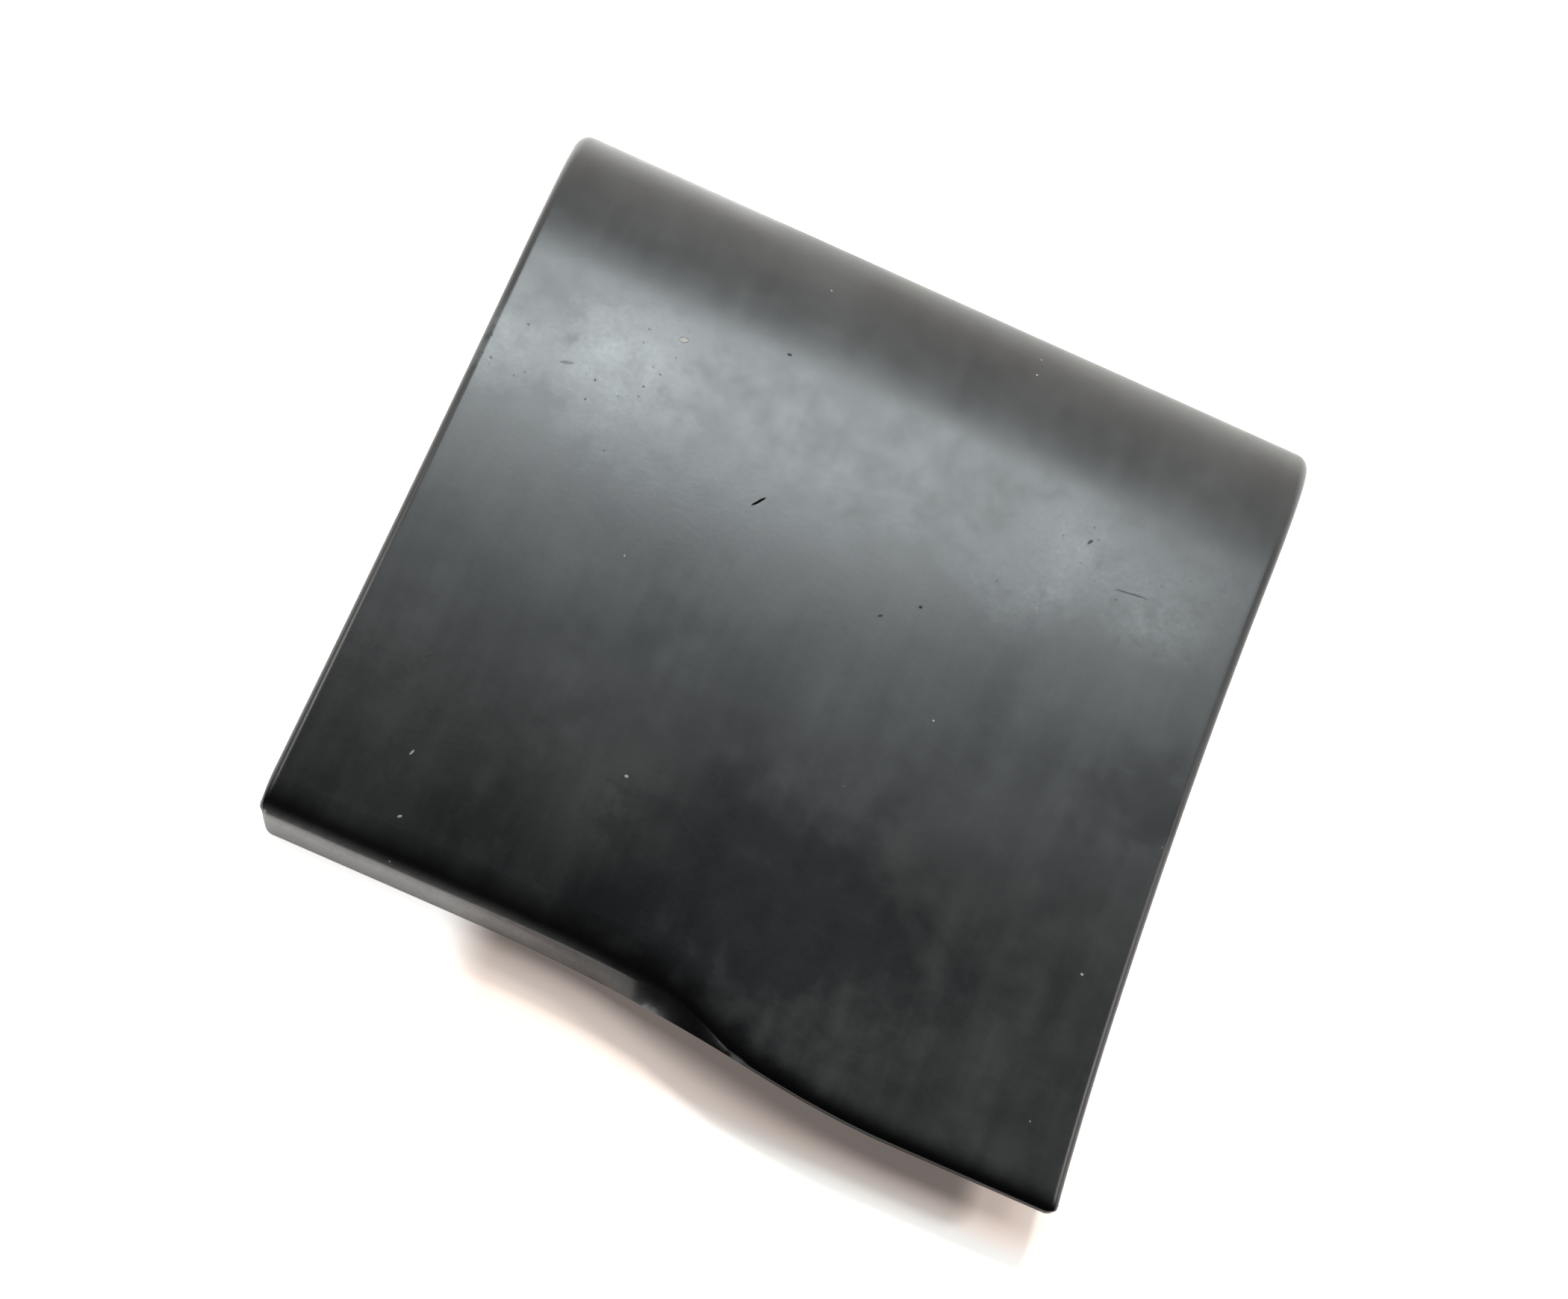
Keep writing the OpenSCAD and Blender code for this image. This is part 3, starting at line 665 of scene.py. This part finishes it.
class BUMP_OT_steel(bpy.types.Operator):
    """Gives the anchor bars, sockets and link sleeves their zinc plating"""
    bl_idname = "bump.steel"
    bl_label = "Steel fixings"

    def execute(self, context):
        colours = context.scene.bump_fixing_colours
        rolled = zinc_plate("rolled_zinc_plate", colours, (20.0, 900.0, 900.0), 0.3)
        drawn = zinc_plate("drawn_zinc_tube", colours, (15.0, 1100.0, 1100.0), 0.26)
        turned = zinc_plate("turned_zinc_socket", colours, (60.0, 60.0, 3000.0), 0.22)
        finish_node("front_anchor_bar", rolled)
        finish_node("rear_anchor_bar", rolled)
        finish_node("front_link_sleeve", drawn)
        finish_node("rear_link_sleeve", drawn)
        finish_node("anchor_sockets", turned)
        return {"FINISHED"}


class BUMP_OT_strips(bpy.types.Operator):
    """Gives the butyl strips their soft, tacky surface"""
    bl_idname = "bump.strips"
    bl_label = "Butyl strips"

    def execute(self, context):
        finish_node("grip_strips", soft_butyl(context.scene.bump_fixing_colours))
        return {"FINISHED"}


# ---------------------------------------------------------------- the stage

# Tones of the light, as linear colours
COOL = (0.92, 1.0, 1.03)
PLAIN = (1.0, 1.0, 1.0)
WARM = (1.0, 0.98, 0.95)
SIDE_WARM = (1.0, 0.97, 0.93)
WALL_WARM = (1.0, 0.97, 0.94)
# Places of the lamps, in metres from the middle of the cover
KEY_PLACE = (-0.12, 0.69, 1.1)
BACK_PLACES = ((0.4, 1.55, 1.3), (1.9, 0.58, 0.83))
FRONT_PLACE = (-0.6, -1.1, 0.25)
SIDE_PLACES = ((-1.2, 0.15, 1.0), (1.2, 0.15, 1.0))
# The point that the camera looks at
CAMERA_TARGET = (-0.0079, -0.0117, 0.025)
SENSOR_WIDTH = 36.0


class StageSettings(bpy.types.PropertyGroup):
    floor_size: bpy.props.FloatProperty(
        name="Floor size", default=8.0, min=1.0, unit="LENGTH", description="Side of the floor")
    floor: colour("Floor", "#f6f5f3", "Colour of the floor")
    shade: colour("Shade", "#f3e2d9", "Colour of the floor in the warm shade before the toe")
    key_power: power("Key power", 10.6, "Power of the lamp that the top mirrors")
    key_width: length("Key width", 950, "Size of the key lamp along the road")
    key_depth: length("Key depth", 340, "Size of the key lamp across the road")
    back_power: power("Back power", 36, "Power of each lamp that casts a shadow")
    back_size: length("Back size", 300, "Width of each lamp that casts a shadow")
    front_power: power("Front power", 3, "Power of the low lamp in front")
    front_size: length("Front size", 500, "Width of the low lamp in front")
    side_power: power("Side power", 4, "Power of each of the two lamps at the sides")
    side_size: length("Side size", 500, "Width of each of the two lamps at the sides")
    distance: length("Camera distance", 1517.9, "Distance from the camera to the middle of the module")
    focal_length: bpy.props.FloatProperty(
        name="Focal length", default=85.07, min=20, unit="CAMERA", description="Focal length of the camera")
    azimuth: angle("Azimuth", -5.65, "Turn of the camera round the module")
    from_above: angle("From above", 29.57, "Angle of the view from straight down")
    roll: angle("Roll", 28.85, "Turn of the camera about its own axis")


def white_floor(colours):
    """Painted white board that the camera sees as plain white, with the object's shadow left in it."""
    material, tree, shader, place = new_material("white_board")
    rays = add_node(tree, "ShaderNodeLightPath")
    point = add_node(tree, "ShaderNodeSeparateXYZ", {}, {0: place})
    names = {"camera": rays.outputs["Is Camera Ray"], "glossy": rays.outputs["Is Glossy Ray"],
             "through": rays.outputs["Is Transmission Ray"], "x": point.outputs[0], "y": point.outputs[1]}
    # Beside the left-hand half of the lip the board glows enough to lose the lip's shadow, and away from the
    # module it is plain white. The shade before the toe has a colour of its own.
    formula(tree, names, """
        shown = max(camera, max(glossy, through))
        beside = ease(0 - 0.065, 0 - 0.095, x)
        strength = shown * (0.12 + 0.8 * beside) + camera * share(0.3, 0.6, sqrt(x ** 2 + y ** 2))
        before = ease(0 - 0.212, 0 - 0.195, y) * ease(0 - 0.13, 0 - 0.15, y)
        warm = before * (1 - beside) * ease(0.2, 0.16, x)""")
    base = add_node(tree, "ShaderNodeMix", {"data_type": "RGBA"}, {
        0: names["warm"], 6: (*colours.floor, 1), 7: (*colours.shade, 1)}).outputs[2]
    tree.links.new(base, shader.inputs["Base Color"])
    shader.inputs["Roughness"].default_value = 0.9
    glow = add_node(tree, "ShaderNodeEmission", {}, {"Color": base, "Strength": names["strength"]})
    both = add_node(tree, "ShaderNodeAddShader", {}, {0: shader, 1: glow})
    tree.links.new(both.outputs[0], tree.nodes["Material Output"].inputs["Surface"])
    return material


def soft_lamp(name, size, watts, tone, place, target):
    """Adds an oval lamp at a place that is given from its target, and points it there."""
    data = bpy.data.lights.new(name, "AREA")
    data.shape = "ELLIPSE"
    data.size, data.size_y = size
    data.energy = watts
    data.color = tone
    lamp = bpy.data.objects.new(name, data)
    bpy.context.scene.collection.objects.link(lamp)
    lamp.location = target + Vector(place)
    lamp.rotation_mode = "QUATERNION"
    lamp.rotation_quaternion = (target - lamp.location).to_track_quat("-Z", "Y")
    return lamp


class BUMP_OT_stage(bpy.types.Operator):
    """Sets up the white floor, the lamps, the sky and the camera"""
    bl_idname = "bump.stage"
    bl_label = "Stage"

    def execute(self, context):
        scene = context.scene
        settings = scene.bump_stage
        half = settings.floor_size / 2
        mesh = bpy.data.meshes.new("floor")
        corners = [(-half, -half, 0), (half, -half, 0), (half, half, 0), (-half, half, 0)]
        mesh.from_pydata(corners, [], [(0, 1, 2, 3)])
        floor = bpy.data.objects.new("floor", mesh)
        scene.collection.objects.link(floor)
        mesh.materials.append(white_floor(settings))

        middle = (COVER_LOW + COVER_HIGH) / 2
        key_size = (settings.key_width, settings.key_depth)
        key = soft_lamp("key", key_size, settings.key_power, COOL, KEY_PLACE, middle)
        key.visible_diffuse = False
        back_size = (settings.back_size, settings.back_size)
        for place in BACK_PLACES:
            back = soft_lamp("back", back_size, settings.back_power, WARM, place, middle)
            back.visible_glossy = False
        front_size = (settings.front_size, settings.front_size)
        soft_lamp("front", front_size, settings.front_power, PLAIN, FRONT_PLACE, middle)
        side_size = (settings.side_size, settings.side_size)
        for place in SIDE_PLACES:
            soft_lamp("side", side_size, settings.side_power, SIDE_WARM, place, middle)

        world = bpy.data.worlds.new("studio")
        scene.world = world
        world.use_nodes = True
        tree = world.node_tree
        rays = add_node(tree, "ShaderNodeLightPath")
        ray = add_node(tree, "ShaderNodeTexCoord").outputs["Generated"]
        up = add_node(tree, "ShaderNodeSeparateXYZ", {}, {0: ray})
        # Dark towards the viewer and paler behind the module, down to a warm wall
        names = {"y": up.outputs[1], "z": up.outputs[2], "camera": rays.outputs["Is Camera Ray"]}
        seen = formula(tree, names, """
            wall = share(0.85, 0.4, z)
            seen = max(camera, 0.01 + share(0.04, 0.34, y) * (1.1 + 0.3 * wall))""")
        tint = add_node(tree, "ShaderNodeMix", {"data_type": "RGBA"}, {
            0: names["wall"], 6: (*COOL, 1), 7: (*WALL_WARM, 1)}).outputs[2]
        sky = tree.nodes["Background"]
        tree.links.new(tint, sky.inputs["Color"])
        tree.links.new(seen, sky.inputs["Strength"])

        data = bpy.data.cameras.new("camera")
        data.lens = settings.focal_length
        data.sensor_width = SENSOR_WIDTH
        data.sensor_fit = "HORIZONTAL"
        camera = bpy.data.objects.new("camera", data)
        scene.collection.objects.link(camera)
        turn = (Matrix.Rotation(settings.azimuth, 4, "Z") @ Matrix.Rotation(settings.from_above, 4, "X")
                @ Matrix.Rotation(settings.roll, 4, "Z"))
        place = Vector(CAMERA_TARGET) + turn @ Vector((0, 0, settings.distance))
        camera.matrix_world = Matrix.Translation(place) @ turn
        scene.camera = camera
        scene.view_settings.view_transform = "Standard"
        return {"FINISHED"}


# ---------------------------------------------------------------- panel and registration

OPERATORS = (BUMP_OT_cover, BUMP_OT_core, BUMP_OT_steel, BUMP_OT_strips, BUMP_OT_stage)
GROUPS = {"bump_cover": CoverSizes, "bump_cover_colours": CoverColours,
          "bump_fixing_colours": FixingColours, "bump_stage": StageSettings}


class BUMP_PT_panel(bpy.types.Panel):
    """Lists the pieces of the speed bump and the sizes and colours that they follow"""
    bl_idname = "BUMP_PT_panel"
    bl_label = "Speed bump"
    bl_space_type = "VIEW_3D"
    bl_region_type = "UI"
    bl_category = "Speed bump"

    def draw(self, context):
        for operator in OPERATORS:
            self.layout.operator(operator.bl_idname)
        for name, group in GROUPS.items():
            column = self.layout.column(align=True)
            for prop in group.__annotations__:
                column.prop(getattr(context.scene, name), prop)


def register():
    for kind in (*GROUPS.values(), *OPERATORS, BUMP_PT_panel):
        bpy.utils.register_class(kind)
    for name, group in GROUPS.items():
        setattr(bpy.types.Scene, name, bpy.props.PointerProperty(type=group))


def unregister():
    for name in GROUPS:
        delattr(bpy.types.Scene, name)
    for kind in reversed((*GROUPS.values(), *OPERATORS, BUMP_PT_panel)):
        bpy.utils.unregister_class(kind)


def main():
    register()
    for operator in OPERATORS:
        group, name = operator.bl_idname.split(".")
        getattr(getattr(bpy.ops, group), name)()


if __name__ == "__main__":
    main()
